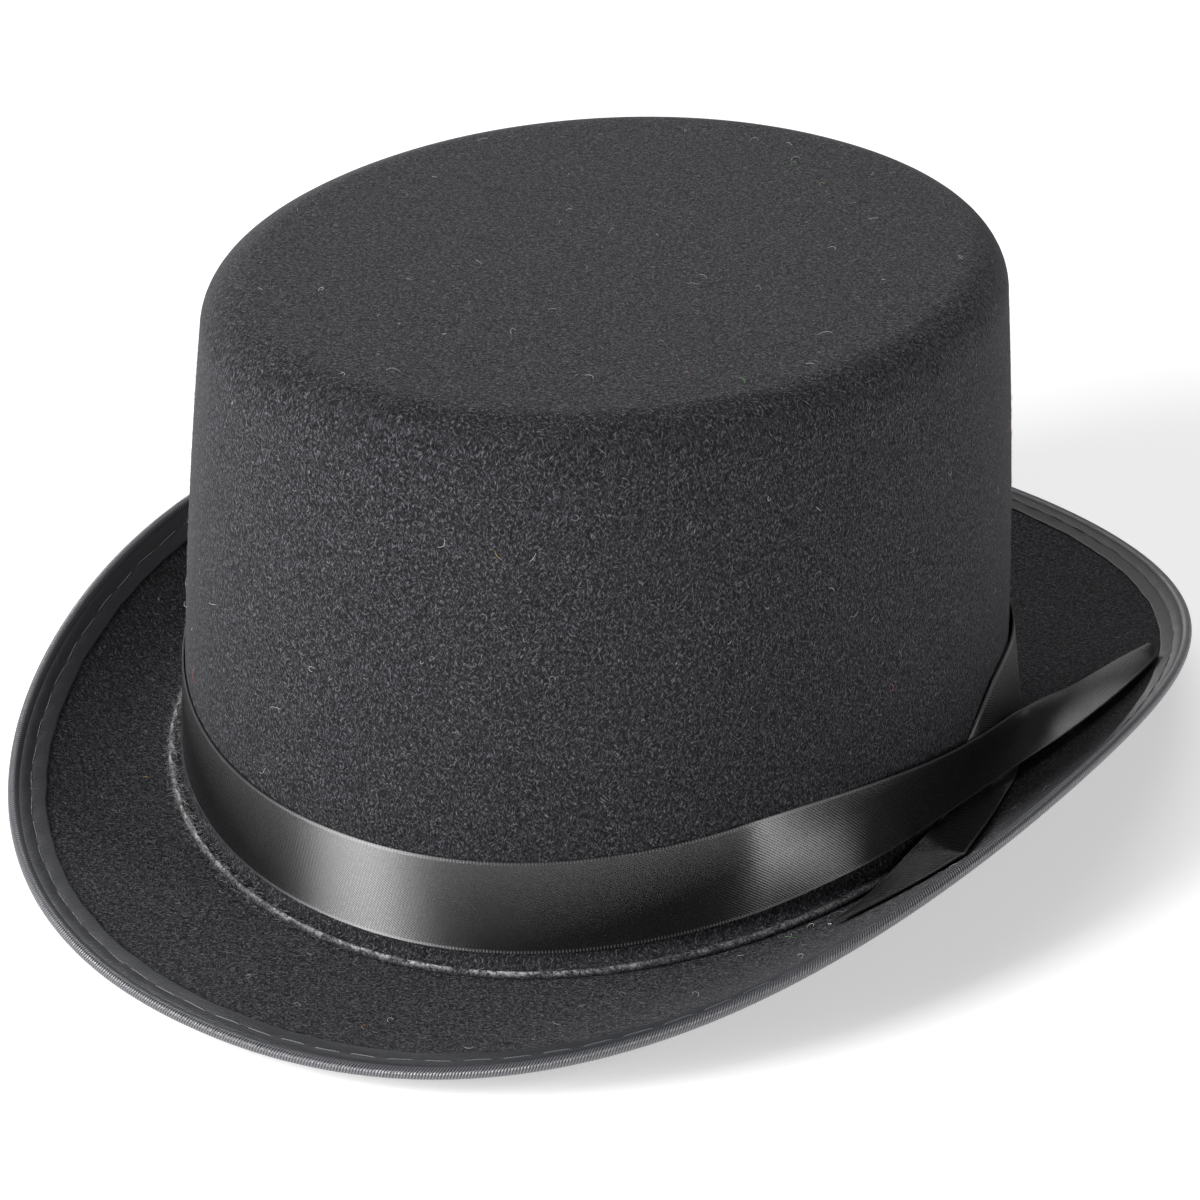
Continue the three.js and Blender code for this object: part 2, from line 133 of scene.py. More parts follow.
def crown_point(angle, z, inset, scale=1.0):
    """A point of the crown at height z, moved in from the wall by inset and scaled towards the middle."""
    t = np.clip(z / WALL_TOP, 0, 1)
    swell = WALL_BULGE * 4 * t * (1 - t) - inset
    half_x = FOOT[0] + (SHOULDER[0] - FOOT[0]) * t + swell
    half_y = FOOT[1] + (SHOULDER[1] - FOOT[1]) * t + swell
    x, y = oval(angle, half_x * scale, half_y * scale, CROWN_SQUARENESS)
    x, y, z = np.broadcast_arrays(x, y, z)
    return np.stack([x, y, z + TIP_SLOPE * y * np.maximum(z, 0) / CROWN_HEIGHT], -1)


def brim_edge(angle):
    """The brim's outline: an oval with its corners trimmed, high at the sides."""
    trim = 1 - BRIM_TRIM * np.cos(4 * angle)
    x, y = oval(angle, BRIM[0] * trim, BRIM[1] * trim, BRIM_SQUARENESS)
    mean, sides, quarters = EDGE_HEIGHT
    z = mean + sides * np.cos(2 * angle) + quarters * np.cos(4 * angle)
    return np.stack([x, y + BRIM_BACK_SHIFT, z], -1)


def ridge_foot(angle):
    """The line on the brim's middle where the crown's foot ends."""
    x, y = oval(angle, FOOT[0] + RIDGE_REACH, FOOT[1] + RIDGE_REACH, CROWN_SQUARENESS)
    return np.stack([x, y, saddle(angle) + BRIM_MID], -1)


def brim_point(angle, s, up):
    """A point of the brim: s is 0 at the ridge and 1 at the outline, and up is square to its middle."""
    foot = ridge_foot(angle)
    span = brim_edge(angle) - foot
    along = np.maximum(s, 0)
    reach = np.hypot(span[..., 0], span[..., 1])
    slope = span[..., 2] * BRIM_CURL * along ** (BRIM_CURL - 1) / reach
    tilt = np.hypot(1, slope)
    lean = up * slope / tilt / reach
    x = foot[..., 0] + span[..., 0] * (s - lean)
    y = foot[..., 1] + span[..., 1] * (s - lean)
    z = foot[..., 2] + span[..., 2] * along ** BRIM_CURL + up / tilt
    return np.stack([x, y, z], -1)


def brim_at(angle, distance):
    """The value of s at a distance from the outline, measured along the brim."""
    span = brim_edge(angle) - ridge_foot(angle)
    return 1 - distance / np.sqrt(span[..., 0] ** 2 + span[..., 1] ** 2 + (span[..., 2] * BRIM_CURL) ** 2)


def brim_inner(angle):
    """The value of s at the brim's inner edge, hidden under the crown's foot."""
    span = brim_edge(angle) - ridge_foot(angle)
    return -BRIM_INNER / np.hypot(span[..., 0], span[..., 1])


def curve_through(points, t):
    """A centripetal Catmull-Rom curve through points, at values of t that count the points from 0."""
    points = np.asarray(points, float)
    last = len(points) - 1
    before, after = 2 * points[0] - points[1], 2 * points[-1] - points[-2]
    padded = np.concatenate([[before], points, [after]])
    i = np.minimum(np.asarray(t).astype(int), last - 1)
    u = np.reshape(t - i, (-1,) + (1,) * (points.ndim - 1))
    p = [padded[i + k] for k in range(4)]
    gap = [np.maximum(np.linalg.norm(p[k + 1] - p[k], axis=-1, keepdims=True), 1e-9) ** 0.5 for k in range(3)]
    m1 = (p[1] - p[0]) / gap[0] - (p[2] - p[0]) / (gap[0] + gap[1]) + (p[2] - p[1]) / gap[1]
    m2 = (p[2] - p[1]) / gap[1] - (p[3] - p[1]) / (gap[1] + gap[2]) + (p[3] - p[2]) / gap[2]
    m1, m2 = m1 * gap[1], m2 * gap[1]
    a = 2 * p[1] - 2 * p[2] + m1 + m2
    b = 3 * p[2] - 3 * p[1] - 2 * m1 - m2
    return ((a * u + b) * u + m1) * u + p[1]


def ripple(angle, waves, seed):
    """A smooth, seeded unevenness round the hat, from about -1 to 1."""
    phases = np.random.default_rng(seed).uniform(0, 2 * math.pi, len(waves))
    return sum(np.sin(n * angle + phase) for n, phase in zip(waves, phases)) / math.sqrt(len(waves))


# ---- Meshes ----

def lengths_along(points, closed):
    """Distance along a row of points, from 0, with the step back to the first point when it is closed."""
    if closed:
        points = np.concatenate([points, points[:1]])
    steps = np.linalg.norm(np.diff(points, axis=0), axis=1)
    return np.concatenate([[0], np.cumsum(steps)])


def finish_mesh(obj, material, sharp=50):
    """Welds a new mesh, turns its faces outwards, shades it, and gives it its material."""
    mesh = obj.data
    edit = bmesh.new()
    edit.from_mesh(mesh)
    bmesh.ops.remove_doubles(edit, verts=edit.verts, dist=1e-7)
    bmesh.ops.recalc_face_normals(edit, faces=edit.faces)
    edit.to_mesh(mesh)
    edit.free()
    mesh.shade_smooth()
    mesh.set_sharp_from_angle(angle=math.radians(sharp))
    mesh.materials.append(material)
    return obj


def new_object(name, mesh):
    obj = bpy.data.objects.new(name, mesh)
    bpy.context.scene.collection.objects.link(obj)
    return obj


def grid(name, points, material, slot, ring=True, loop=True, sharp=50, **values):
    """A mesh through rows of points in hat coordinates. A ring closes each row on itself, and a loop joins
    the last row to the first. Its UV map holds real lengths, along the rows and across them, and values are
    attributes."""
    rows, columns = points.shape[:2]
    r, c = np.meshgrid(np.arange(rows if loop else rows - 1), np.arange(columns if ring else columns - 1),
                       indexing="ij")
    r, c = r.ravel(), c.ravel()
    corner_r = np.stack([r, r, r + 1, r + 1], -1)
    corner_c = np.stack([c, c + 1, c + 1, c], -1)
    faces = (corner_r % rows) * columns + corner_c % columns
    mesh = bpy.data.meshes.new(name)
    mesh.from_pydata((points.reshape(-1, 3) + SHIFT).tolist(), [], faces.tolist())
    along = lengths_along(points[rows // 2], ring)
    across = lengths_along(points[:, columns // 3], loop)
    uv = np.stack([along[corner_c], across[corner_r]], -1)
    mesh.uv_layers.new(name="lengths").data.foreach_set("uv", uv.ravel())
    for key, value in values.items():
        spread = np.broadcast_to(value, (rows, columns)).ravel().astype(np.float32)
        mesh.attributes.new(key, "FLOAT", "POINT").data.foreach_set("value", spread)
    return finish_mesh(new_object(name, mesh), material, sharp)


def tubes(name, paths, radius, sides, material, shade=None):
    """Many thin closed tubes in one mesh. paths holds as many points for each tube, and shade its colour."""
    count, steps = paths.shape[:2]
    along = np.gradient(paths, axis=1)
    along /= np.maximum(np.linalg.norm(along, axis=-1, keepdims=True), 1e-9)
    helper = np.where(np.abs(along[..., 2:3]) < 0.9, [[[0, 0, 1.0]]], [[[1.0, 0, 0]]])
    side = np.cross(along, helper)
    side /= np.linalg.norm(side, axis=-1, keepdims=True)
    other = np.cross(along, side)
    turn = np.arange(sides) * 2 * math.pi / sides
    radius = np.broadcast_to(radius, (count, steps))[..., None, None]
    ring = np.cos(turn)[:, None] * side[:, :, None] + np.sin(turn)[:, None] * other[:, :, None]
    points = paths[:, :, None] + radius * ring
    start = np.arange(count)[:, None, None] * steps * sides
    i = np.arange(steps - 1)[None, :, None] * sides
    k = np.arange(sides)[None, None, :]
    near, far = start + i + k, start + i + (k + 1) % sides
    walls = np.stack([near, far, far + sides, near + sides], -1).reshape(-1, 4)
    first = (start[:, 0] + np.arange(sides)[::-1]).tolist()
    last = (start[:, 0] + (steps - 1) * sides + np.arange(sides)).tolist()
    mesh = bpy.data.meshes.new(name)
    mesh.from_pydata((points.reshape(-1, 3) + SHIFT).tolist(), [], walls.tolist() + first + last)
    if shade is not None:
        spread = np.repeat(shade, steps * sides, axis=0)
        opaque = np.concatenate([spread, np.ones((len(spread), 1))], axis=1)
        mesh.attributes.new("tint", "FLOAT_COLOR", "POINT").data.foreach_set("color", opaque.ravel())
    return finish_mesh(new_object(name, mesh), material)


# ---- Materials ----

class Nodes:
    """Short ways to build one material's nodes."""

    def __init__(self, name):
        self.material = bpy.data.materials.new(name)
        self.material.use_nodes = True
        self.tree = self.material.node_tree
        self.shader = self.tree.nodes["Principled BSDF"]

    def add(self, kind, inputs=None, output=0, **settings):
        made = self.tree.nodes.new("ShaderNode" + kind)
        for key, value in settings.items():
            setattr(made, key, value)
        for key, value in (inputs or {}).items():
            if isinstance(value, bpy.types.NodeSocket):
                self.tree.links.new(value, made.inputs[key])
            else:
                made.inputs[key].default_value = value
        return made.outputs[output]

    def math(self, operation, *values):
        return self.add("Math", dict(enumerate(values)), operation=operation)

    def wave(self, length, pitch):
        """A sine that repeats once in each pitch of a length."""
        return self.math("SINE", self.math("MULTIPLY", length, 2 * math.pi / pitch))

    def grain(self, along, across, along_scale, across_scale, detail=2.0, roughness=0.5):
        """Noise that is stretched along the threads of a cloth."""
        u = self.math("MULTIPLY", along, along_scale)
        v = self.math("MULTIPLY", across, across_scale)
        return self.noise(self.add("CombineXYZ", {0: u, 1: v}), 1.0, detail, roughness)

    def ramp(self, value, low, high, to_low=0.0, to_high=1.0, kind="SMOOTHSTEP"):
        inputs = {"Value": value, "From Min": low, "From Max": high, "To Min": to_low, "To Max": to_high}
        return self.add("MapRange", inputs, interpolation_type=kind)

    def mix(self, factor, a, b, blend="MIX"):
        return self.add("Mix", {0: factor, 6: a, 7: b}, output=2, data_type="RGBA", blend_type=blend)

    def position(self):
        return self.add("TexCoord", output="Object")

    def lengths(self):
        """The mesh's real lengths: along its rows, and across them."""
        return self.split(self.add("UVMap", uv_map="lengths"))[:2]

    def split(self, vector):
        parts = self.tree.nodes.new("ShaderNodeSeparateXYZ")
        self.tree.links.new(vector, parts.inputs[0])
        return list(parts.outputs)

    def stretched(self, vector, scale):
        return self.add("VectorMath", {0: vector, 1: scale}, operation="MULTIPLY")

    def noise(self, vector, scale, detail=2.0, roughness=0.5, output=0):
        inputs = {"Vector": vector, "Scale": scale, "Detail": detail, "Roughness": roughness}
        return self.add("TexNoise", inputs, output=output)

    def value(self, name):
        return self.add("Attribute", output="Fac", attribute_name=name)

    def tangent(self):
        """The direction of the cloth's length, for the stretched highlight of its threads."""
        return self.add("Tangent", direction_type="UV_MAP", uv_map="lengths")

    def bump(self, height, strength, distance):
        return self.add("Bump", {"Height": height, "Strength": strength, "Distance": distance})

    def set(self, **inputs):
        """Sets or links inputs of the shader, with _ for the spaces in their names."""
        for key, value in inputs.items():
            socket = self.shader.inputs[key.replace("_", " ")]
            if isinstance(value, bpy.types.NodeSocket):
                self.tree.links.new(value, socket)
            else:
                socket.default_value = value
        return self.material


def grey(level, blue=0.0):
    """A grey, bluer by a share of itself."""
    return (level, level, level * (1 + blue), 1)


def streaks(n, u, v, turns, fine, seed):
    """Thin fibres lying in a plane in a few directions, from 0 to 1, on coordinates u and v in metres."""
    highest = None
    for turn in turns:
        c, s = math.cos(math.radians(turn)), math.sin(math.radians(turn))
        along = n.math("ADD", n.math("MULTIPLY", u, c), n.math("MULTIPLY", v, s))
        across = n.math("SUBTRACT", n.math("MULTIPLY", v, c), n.math("MULTIPLY", u, s))
        u_scaled = n.math("MULTIPLY", along, fine * 0.26)
        v_scaled = n.math("MULTIPLY", across, fine)
        strand = n.noise(n.add("CombineXYZ", {0: u_scaled, 1: v_scaled, 2: seed + turn}), 1.0, 2.0, 0.6)
        highest = strand if highest is None else n.math("MAXIMUM", highest, strand)
    return n.ramp(highest, 0.55, 0.74)


def felt_fibres(n, fine=3400):
    """Pale fibres lying every way in the felt, mostly upright on the wall, and fine unevenness below them."""
    place = n.position()
    swirl = n.noise(place, 260, 1.0, output=1)
    bend = n.add("VectorMath", {0: swirl, 1: (-0.5, -0.5, -0.5)}, operation="ADD")
    warped = n.add("VectorMath", {0: bend, 1: (0.0028, 0.0028, 0.0028), 2: place}, operation="MULTIPLY_ADD")
    x, y, z = n.split(warped)
    flat = streaks(n, x, y, (15, 75, 135), fine, 0)
    round_wall = n.math("MULTIPLY", n.math("ARCTAN2", y, x), 0.095)
    upright = streaks(n, z, round_wall, (-35, 0, 30), fine, 500)
    facing_up = n.ramp(n.math("ABSOLUTE", n.split(n.add("NewGeometry", output="Normal"))[2]), 0.5, 0.8)
    fibres = n.math("ADD", n.math("MULTIPLY", flat, facing_up),
                    n.math("MULTIPLY", upright, n.math("SUBTRACT", 1.0, facing_up)))
    return fibres, n.noise(place, 1500, 3.0, 0.65)


def felt_material():
    """Black polyester felt with pale fibre ends, and a pressed, glazed line where the glaze attribute is set,
    smoother there and painted pale grey as a highlight.
    """
    n = Nodes("black_felt")
    fibres, coarse = felt_fibres(n)
    patches = n.noise(n.position(), 60, 2.0)
    base = n.mix(n.ramp(coarse, 0.38, 0.64), grey(0.001, 0.2), grey(0.018, 0.2))
    base = n.mix(n.ramp(patches, 0.3, 0.7, 0.0, 0.25), base, grey(0.014, 0.0))
    speck = n.mix(n.math("MULTIPLY", fibres, n.ramp(coarse, 0.3, 0.7, 0.35, 1.0)), base, grey(0.19, 0.12))
    glaze = n.value("glaze")
    grain = n.ramp(n.noise(n.position(), 1500, 3.0, 0.7), 0.36, 0.60)
    highlight_patches = n.ramp(n.noise(n.position(), 300, 3.0, 0.7), 0.36, 0.6, 0.2, 1.0)
    painted_highlight = n.math("MULTIPLY", n.math("MULTIPLY", glaze, highlight_patches), grain)
    # Painted highlight: the glazed line's colour is lightened to pale grey, broken up in patches and fine
    # grain.
    colour = n.mix(painted_highlight, speck, grey(0.5, 0.02))
    rough = n.ramp(glaze, 0.0, 1.0, 0.92, 0.3)
    height = n.math("ADD", n.math("MULTIPLY", fibres, 0.9), coarse)
    normal = n.bump(height, 0.5, 0.0003)
    return n.set(Base_Color=colour, Roughness=rough, Normal=normal, Sheen_Weight=0.2, Sheen_Roughness=0.3,
                 Sheen_Tint=(0.7, 0.7, 0.73, 1), Specular_IOR_Level=0.25)


def satin_material():
    """Black satin ribbon: threads along it spread each highlight across it; tiny loops mark its selvages."""
    n = Nodes("black_satin")
    along, across = n.lengths()
    twill = n.wave(n.math("ADD", across, n.math("MULTIPLY", along, 0.8)), 0.7 * MM)
    thread = n.grain(along, across, 2300, 1100, 3.0, 0.6)
    pulled = n.grain(along, across, 260, 60)
    floats = n.wave(n.math("SUBTRACT", along, n.math("MULTIPLY", across, 0.3)), 0.8 * MM)
    dashes = n.math("MULTIPLY", twill, n.ramp(floats, -1.0, 0.4, 0.35, 1.0))
    weave = n.math("ADD", n.math("MULTIPLY", dashes, 0.5), n.math("MULTIPLY", thread, 1.3))
    edge = n.value("from_edge")
    hem = n.ramp(edge, 0.35 * MM, 0.85 * MM, 1.0, 0.0)
    loops = n.wave(along, 0.72 * MM)
    dots = n.math("MULTIPLY", hem, n.ramp(loops, 0.1, 0.8))
    base = n.mix(n.ramp(thread, 0.35, 0.7), grey(0.002, 0.1), grey(0.006, 0.1))
    colour = n.mix(dots, base, grey(0.11, 0.03))
    glint = n.math("ADD", dashes, n.math("MULTIPLY", thread, 1.2))
    rough = n.ramp(glint, -0.1, 1.3, 0.24, 0.42)
    rough = n.math("ADD", rough, n.math("MULTIPLY", hem, 0.15))
    uneven = n.math("ADD", n.math("MULTIPLY", dots, 3.0), n.math("MULTIPLY", pulled, 1.5))
    height = n.math("ADD", weave, uneven)
    return n.set(Base_Color=colour, Roughness=rough, Normal=n.bump(height, 0.16, 0.0001), Tangent=n.tangent(),
                 Anisotropic=1.0, Anisotropic_Rotation=0.25, IOR=1.9, Specular_IOR_Level=1.0)


def binding_material():
    """Ribbed satin bias tape. Its ribs cross the tape, and lie slantwise round the bead. Its rib crests are
    painted lighter as a highlight, most on the bead, and its stitch holes are painted dark as shade.
    """
    n = Nodes("binding_tape")
    along, across = n.lengths()
    slant = n.math("ADD", along, n.math("MULTIPLY", across, 0.35))
    ribs = n.wave(slant, 0.66 * MM)
    weft = n.grain(slant, across, 4200, 900)
    bead = n.value("bead")
    # Painted highlight: the crests of the ribs are lightened, faintly on the flat strip and strongly on the
    # bead.
    lit = n.ramp(ribs, 0.0, 0.8)
    base = n.mix(n.ramp(weft, 0.3, 0.7), grey(0.006, 0.22), grey(0.018, 0.2))
    painted_rib_highlight = n.mix(bead, grey(0.05, 0.15), grey(0.17, 0.1))
    base = n.mix(n.math("MULTIPLY", lit, n.ramp(bead, 0.0, 1.0, 0.35, 0.9)), base, painted_rib_highlight)
    # Painted shade: dark dots where the stitches dive into the tape.
    phase = n.math("FRACT", n.math("DIVIDE", along, STITCH_PITCH))
    hole_along = n.ramp(n.math("ABSOLUTE", n.math("SUBTRACT", phase, 0.5)), 0.07, 0.12, 1.0, 0.0)
    painted_hole_shade = n.math("MULTIPLY", hole_along, n.value("stitched"))
    colour = n.mix(painted_hole_shade, base, grey(0.002))
    height = n.math("ADD", n.math("MULTIPLY", ribs, 0.5), weft)
    rough = n.math("SUBTRACT", n.ramp(weft, 0.3, 0.7, 0.38, 0.52), n.math("MULTIPLY", bead, 0.1))
    return n.set(Base_Color=colour, Roughness=rough, Tangent=n.tangent(),
                 Normal=n.bump(height, 0.5, 0.00018), Anisotropic=0.4, IOR=1.7, Specular_IOR_Level=0.6,
                 Sheen_Weight=0.08, Sheen_Tint=(0.75, 0.8, 0.9, 1))


def cloth_material(name, low, high, pitch, roughness, ribs=(1.0, 0.0), blue=0.0, sheen=0.1):
    """A plain woven or ribbed cloth, with its threads at a pitch along and across."""
    n = Nodes(name)
    along, across = n.lengths()
    warp = n.math("SINE", n.math("MULTIPLY", along, 2 * math.pi * ribs[0] / pitch))
    weft = n.math("SINE", n.math("MULTIPLY", across, 2 * math.pi * ribs[1] / pitch))
    slub = n.noise(n.position(), 700, 3.0, 0.6)
    tone = n.ramp(n.math("ADD", n.math("MULTIPLY", warp, 0.15), slub), 0.3, 0.75)
    colour = n.mix(tone, grey(low, blue), grey(high, blue))
    height = n.math("ADD", n.math("ADD", warp, weft), slub)
    return n.set(Base_Color=colour, Roughness=roughness, Normal=n.bump(height, 0.35, 0.00015),
                 Sheen_Weight=sheen)


def bonded_material():
    """Stiff non-woven sheet: random bonded fibres with pressed dots."""
    n = Nodes("bonded_stiffener")
    fibres, coarse = felt_fibres(n, 2000)
    cells = n.add("TexVoronoi", {"Vector": n.position(), "Scale": 700.0})
    colour = n.mix(n.ramp(coarse, 0.3, 0.7), grey(0.035), grey(0.075))
    colour = n.mix(n.math("MULTIPLY", fibres, 0.5), colour, grey(0.2))
    height = n.math("ADD", fibres, n.ramp(cells, 0.1, 0.5))
    return n.set(Base_Color=colour, Roughness=0.85, Normal=n.bump(height, 0.4, 0.0003))


def thread_material(name, low, high):
    """Twisted polyester sewing thread."""
    n = Nodes(name)
    twist = n.add("TexWave", {"Vector": n.position(), "Scale": 900.0, "Distortion": 2.0}, output="Fac",
                  bands_direction="DIAGONAL")
    colour = n.mix(twist, grey(low, 0.05), grey(high, 0.05))
    return n.set(Base_Color=colour, Roughness=0.5, Normal=n.bump(twist, 0.3, 0.0001), Sheen_Weight=0.2)


def fuzz_material():
    """Loose fibres, each with its own tint."""
    n = Nodes("loose_fibres")
    tint = n.add("Attribute", output="Color", attribute_name="tint")
    fleck = n.noise(n.position(), 2500, 1.0)
    colour = n.mix(n.ramp(fleck, 0.3, 0.7, 0.0, 0.35), tint, grey(0.5))
    return n.set(Base_Color=n.mix(0.8, colour, tint), Roughness=0.6, Sheen_Weight=0.2)


def wire_material():
    """Drawn steel: fine scratches along the wire and faint dull patches."""
    n = Nodes("drawn_steel")
    scratches = n.noise(n.stretched(n.position(), (300, 300, 3000)), 1.0, 3.0)
    dull = n.noise(n.position(), 90, 2.0)
    colour = n.mix(n.ramp(scratches, 0.3, 0.7), grey(0.42), grey(0.6))
    rough = n.ramp(dull, 0.3, 0.7, 0.28, 0.45)
    return n.set(Base_Color=colour, Roughness=rough, Normal=n.bump(scratches, 0.15, 0.0001), Metallic=1.0)


FELT = felt_material()
SATIN = satin_material()
BINDING = binding_material()
STIFFENER = bonded_material()
LINING = cloth_material("satin_lining", 0.010, 0.022, 0.35 * MM, 0.42, ribs=(1, 1), blue=0.08)
SWEATBAND = cloth_material("sweatband_tape", 0.008, 0.024, 1.1 * MM, 0.6, blue=0.03)
LABEL = cloth_material("label_cloth", 0.55, 0.72, 0.6 * MM, 0.75, ribs=(1, 1))
THREAD = thread_material("grey_thread", 0.05, 0.2)
FUZZ = fuzz_material()
STEEL = wire_material()


# ---- Crown ----

AROUND = 360
ANGLES = np.arange(AROUND) * 2 * math.pi / AROUND


def crown_rows(inset, lowest, tip_rows, shoulder_rows, wall_rows, angles=ANGLES):
    """Rows of one skin of the crown, from the middle of the tip down to a height above the foot line."""
    radius = SHOULDER_RADIUS - inset
    rows = [crown_point(angles, CROWN_HEIGHT - inset, SHOULDER_RADIUS, scale)
            for scale in np.linspace(0, 1, tip_rows + 1)]
    for turn in np.linspace(math.pi / 2, 0, shoulder_rows + 1)[1:]:
        z = WALL_TOP + radius * np.sin(turn)
        rows.append(crown_point(angles, z, SHOULDER_RADIUS - radius * np.cos(turn)))
    for t in np.linspace(0, 1, wall_rows + 1)[1:]:
        rows.append(crown_point(angles, WALL_TOP * (1 - t) + (saddle(angles) + lowest) * t, inset))
    return np.array(rows)


def crown_felt():
    """The moulded felt: tip, shoulder and wall, a cove at its foot, and the glazed ridge on the brim, with a
    highlight painted along the ridge.
    """
    foot_top = 3.2 * MM
    outside = crown_rows(0, foot_top, 20, 14, 60)
    profile = np.array([(0, 3.2), (0.4, 2.1), (1.1, 1.45), (1.9, 1.2), (2.5, 1.45), (3.0, 1.85), (3.4, 1.6),
                        (3.8, 1.05), (3.78, 0.5)]) * MM
    steps = np.linspace(0, len(profile) - 1, 42)[1:]
    cove = curve_through(profile, steps)
    crest = np.exp(-((cove[:, 0] - 3.1 * MM) / (0.6 * MM)) ** 2) * np.clip(cove[:, 1] / MM - 0.6, 0, 1)
    frayed = np.clip(np.cos(ANGLES - math.radians(-132)), 0, 1) ** 6
    front_left = np.clip(np.cos(ANGLES - math.radians(-100)), 0, 1) ** 0.8
    uneven = ripple(ANGLES, (37, 61, 97, 141, 173), 3)
    rows = []
    for (reach, height), ridge in zip(cove, crest):
        lift = ridge * (uneven * (0.08 + 0.3 * frayed) - 0.5 * (1 - front_left)) * MM
        x, y = oval(ANGLES, FOOT[0] + reach + lift, FOOT[1] + reach + lift, CROWN_SQUARENESS)
        rows.append(np.stack([x, y, saddle(ANGLES) + height + lift], -1))
    inner_x, inner_y = oval(ANGLES, FOOT[0] - CROWN_FELT, FOOT[1] - CROWN_FELT, CROWN_SQUARENESS)
    sole = np.stack([inner_x, inner_y, saddle(ANGLES) + 0.3 * MM], -1)[None]
    inside = crown_rows(CROWN_FELT, foot_top, 4, 6, 12)[::-1]
    points = np.concatenate([outside, rows, sole, inside])
    glaze = np.zeros(points.shape[:2])
    # How much the ridge is glazed and painted pale as a highlight: mostly towards the front left, with some
    # unevenness.
    strength = np.clip(0.05 + 0.95 * front_left + 0.3 * ripple(ANGLES, (5, 11, 23, 41), 8) * front_left, 0, 1)
    glaze[len(outside):len(outside) + len(rows)] = crest[:, None] * strength[None]
    piece = grid("crown_felt_shell", points, FELT, "felt", loop=False, sharp=80, glaze=glaze)
    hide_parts("crown_felt")
    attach(piece, "hat")


def crown_stiffener():
    """The bonded shell inside the felt."""
    outside = crown_rows(STIFFENER_INSET, STIFFENER_LOW, 4, 6, 10)
    inside = crown_rows(STIFFENER_INSET + STIFFENER_THICKNESS, STIFFENER_LOW, 4, 6, 10)
    points = np.concatenate([outside, inside[::-1]])
    piece = grid("crown_stiffener_shell", points, STIFFENER, "stiffener", loop=False)
    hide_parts("crown_stiffener")
    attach(piece, "hat")


def lining_side():
    """The lining of the wall, with upright soft folds."""
    low, high = LINING_LOW, WALL_TOP - LINING_BELOW_SHOULDER
    t = np.linspace(0, 1, 31)[:, None]
    z = (saddle(ANGLES) + low) * (1 - t) + high * t
    folds = 1 + np.sin(LINING_FOLDS * ANGLES + 2 * ripple(ANGLES, (3, 7), 5))
    inset = LINING_INSET + LINING_FOLD_DEPTH * folds * np.sin(math.pi * t)
    outside = crown_point(ANGLES, z, inset)
    inside = crown_point(ANGLES, z, inset + LINING_THICKNESS)
    piece = grid("lining_side_cloth", np.concatenate([outside, inside[::-1]]), LINING, "lining")
    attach(piece, "hat")
    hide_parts("crown_lining_side")
    around = lengths_along(crown_point(ANGLES, WALL_TOP / 2, LINING_INSET), True)[-1]


def lining_tip():
    """The lining's tip: a disc gathered into soft pleats at its rim."""
    edge = SHOULDER_RADIUS + 1.0 * MM
    scales = np.linspace(0, 1, 25)
    pleat = LINING_FOLD_DEPTH * (1 + np.sin(LINING_FOLDS * ANGLES))
    rows = []
    for side in (0, LINING_THICKNESS):
        top = CROWN_HEIGHT - TIP_LINING_DROP - side
        discs = [crown_point(ANGLES, top - pleat * scale ** 4, edge, scale) for scale in scales]
        rows += discs if side == 0 else discs[::-1]
    piece = grid("lining_tip_cloth", np.array(rows), LINING, "lining", loop=False)
    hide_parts("crown_lining_tip")
    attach(piece, "hat")


def sweatband():
    """A ribbed tape round the mouth, a little swollen between its edges, and the stitches that hold it."""
    t = np.linspace(0, 1, 25)[:, None]
    z = saddle(ANGLES) + SWEATBAND_LOW + SWEATBAND_HEIGHT * t
    swell = 0.25 * MM * np.sin(math.pi * t) ** 0.5 + 0.12 * MM * ripple(ANGLES, (5, 9, 14), 11) * t
    face = SWEATBAND_INSET + SWEATBAND_THICKNESS
    outside = crown_point(ANGLES, z, SWEATBAND_INSET)
    inside = crown_point(ANGLES, z, face + swell)
    band = grid("sweatband_tape", np.concatenate([outside, inside[::-1]]), SWEATBAND, "sweatband")
    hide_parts("sweatband")
    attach(band, "hat")
    thread = sweatband_stitches(face)
    around = lengths_along(crown_point(ANGLES, SWEATBAND_HEIGHT / 2, SWEATBAND_INSET), True)[-1]


def sweatband_stitches(face):
    """Short threads near the sweatband's lower edge, which dive into its face at both ends."""
    pitch = math.radians(2.4)
    share = 0.62
    starts = np.arange(0, 2 * math.pi, pitch)[:, None]
    u = np.linspace(0, 1, 7)
    angle = starts + pitch * share * u
    depth = face + 0.42 * MM - 0.35 * MM * (2 * u - 1) ** 4
    paths = crown_point(angle, saddle(angle) + 0.8 * MM, depth)
    thread = tubes("sweatband_stitches", paths, 0.16 * MM, 6, THREAD)
    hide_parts("sweatband_thread")
    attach(thread, "hat")
    return thread


def care_label():
    """A blank woven label, sewn into the sweatband at the back."""
    angle = BACK + np.linspace(-LABEL_HALF_ANGLE, LABEL_HALF_ANGLE, 21)
    t = np.linspace(0, 1, 25)[:, None]
    z = saddle(angle) + LABEL_LOW + LABEL_HEIGHT * t
    lean = 0.5 * MM * np.sin(math.pi * t) + 0.3 * MM * np.sin(5 * angle) * (1 - t)
    outer = crown_point(angle, z, LABEL_INSET + lean)
    inner = crown_point(angle, z, LABEL_INSET + LABEL_THICKNESS + lean)
    label = grid("care_label_cloth", np.concatenate([outer, inner[::-1]]), LABEL, "label", ring=False)
    close_ends(label)
    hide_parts("care_label")
    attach(label, "hat")


def close_ends(obj):
    """Fills the open ends of a loop of rows."""
    edit = bmesh.new()
    edit.from_mesh(obj.data)
    bmesh.ops.holes_fill(edit, edges=[e for e in edit.edges if e.is_boundary])
    bmesh.ops.recalc_face_normals(edit, faces=edit.faces)
    edit.to_mesh(obj.data)
    edit.free()


# ---- Brim ----

